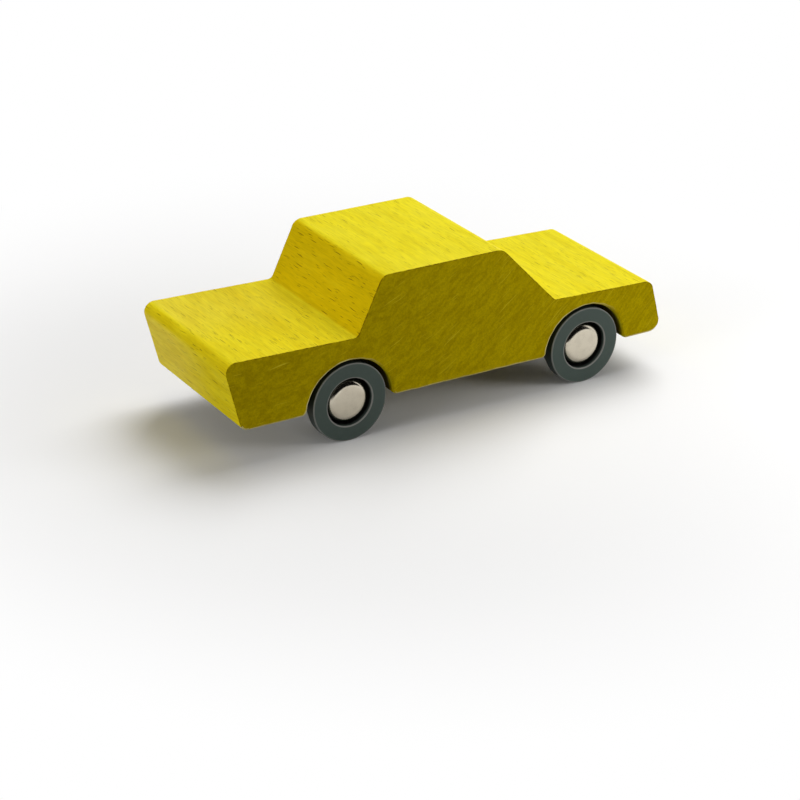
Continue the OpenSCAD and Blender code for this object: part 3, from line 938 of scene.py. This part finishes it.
def makeWheel(s, end, hand, finishes):
    place = f"{end}_{hand}"
    title = end.capitalize() + hand.capitalize()
    side = 1 if hand == "right" else -1
    wheel = f"wheel_{place}"
    middle, tyreRadius, tyreBack, tyreFace = reachOf(f"tyre_{place}")
    axleRadius = reachOf(f"{end}_axle")[1]
    boreRadius = axleRadius + s["runningRoom"]
    wellRadius = tyreRadius - s["tyreSection"]
    wellFloor = tyreFace - s["wellDepth"]
    flangeBack = tyreBack + s["tyreLip"]
    flangeRadius = wellRadius + s["tyreGrip"]
    made = []

    edge = s["tyreEdge"]
    tyre = turnedProfile([
        (wellRadius, tyreBack, edge),
        (flangeRadius + s["backWall"], tyreBack, edge),
        (tyreRadius, tyreFace - s["treadWidth"], edge),
        (tyreRadius, tyreFace, edge),
        (wellRadius, tyreFace, edge),
        (wellRadius, wellFloor, 0),
        (flangeRadius, wellFloor, 0),
        (flangeRadius, flangeBack, 0),
        (wellRadius, flangeBack, 0),
    ], edgeEnd=s["rimFade"])
    marks = tyreMarks(s, tyre, wellRadius, tyreRadius, tyreFace)
    made.append((f"tyre{title}", tyre, True, marks, wheel, f"tyre_{place}", "slate_rubber"))

    hubBack = reachOf(f"hub_{place}")[2]
    edge = s["hubEdge"]
    hub = turnedProfile([
        (boreRadius, hubBack, edge),
        (s["bossRadius"], hubBack, edge),
        (s["bossRadius"], flangeBack, 0),
        (flangeRadius, flangeBack, 0),
        (flangeRadius, wellFloor, 0),
        (boreRadius, wellFloor, edge),
    ])
    made.append((f"hub{title}", hub, True, None, wheel, f"hub_{place}", "dark_plastic"))

    capRadius, capFoot, capFront = reachOf(f"hub_cap_{place}")[1:]
    hollow = capRadius - s["capSkirt"]
    socket = axleRadius + (hollow - axleRadius) * s["capSocketShare"]
    capBack = capFront - s["capFace"]
    edge = s["capEdge"]
    cap = turnedProfile([
        (0, capBack, 0),
        (axleRadius, capBack, 0),
        (axleRadius, capFoot, edge),
        (socket, capFoot, edge),
        (socket, capBack, 0),
        (hollow, capBack, 0),
        (hollow, capFoot, edge),
        (capRadius, capFoot, edge),
        (capRadius, capFront, s["capShoulder"]),
        (0, capFront, 0),
    ], closed=False)
    made.append((f"cap{title}", cap, False, None, "car", f"hub_cap_{place}", "satin_nickel"))

    washerRadius, washerBack, washerFront = reachOf(f"washer_{place}")[1:]
    edge = s["washerEdge"]
    washer = turnedProfile([
        (boreRadius, washerBack, edge),
        (washerRadius, washerBack, edge),
        (washerRadius, washerFront, edge),
        (boreRadius, washerFront, edge),
    ])
    made.append((f"washer{title}", washer, True, None, "car", f"washer_{place}", "nylon"))

    axle = (middle.x, middle.z)
    for name, profile, closed, marks, carrier, node, slot in made:
        piece = makeTurned(name, profile, axle, side, finishes[slot], closed, marks)
        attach(piece, carrier)
        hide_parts(node)


def makeAxle(s, end, material):
    middle, radius, _, far = reachOf(f"{end}_axle")
    edge = s["axleEnd"]
    corners = [(0, -far, 0), (radius, -far, edge), (radius, far, edge), (0, far, 0)]
    profile = turnedProfile(corners, closed=False)
    axle = (middle.x, middle.z)
    piece = makeTurned(f"axle{end.capitalize()}", profile, axle, 1, material, closed=False)
    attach(piece, "car")
    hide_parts(f"{end}_axle")


finishes = {
    "slate_rubber": makeRubber(rubberSet),
    "satin_nickel": makeNickel(nickelSet),
    "dark_plastic": makePlastic(plasticSet),
    "nylon": makeNylon(nylonSet),
}
axleSteel = makeSteel("drawnSteel", drawnSet | axleSteelSet)
for end in ("front", "rear"):
    makeAxle(wheelSet, end, axleSteel)
    for hand in ("left", "right"):
        makeWheel(wheelSet, end, hand, finishes)
print("wheels: 4, with axles, caps and washers")

# The straps and screws keep their CAD meshes
strapSteel = makeSteel("platedSteel", drawnSet | strapSteelSet)
for end in ("front", "rear"):
    for node in (f"{end}_axle_strap", f"{end}_strap_screws"):
        slots = frame["nodes"][node].data.materials
        slots.clear()
        slots.append(strapSteel)
print("straps and screws have their plating")
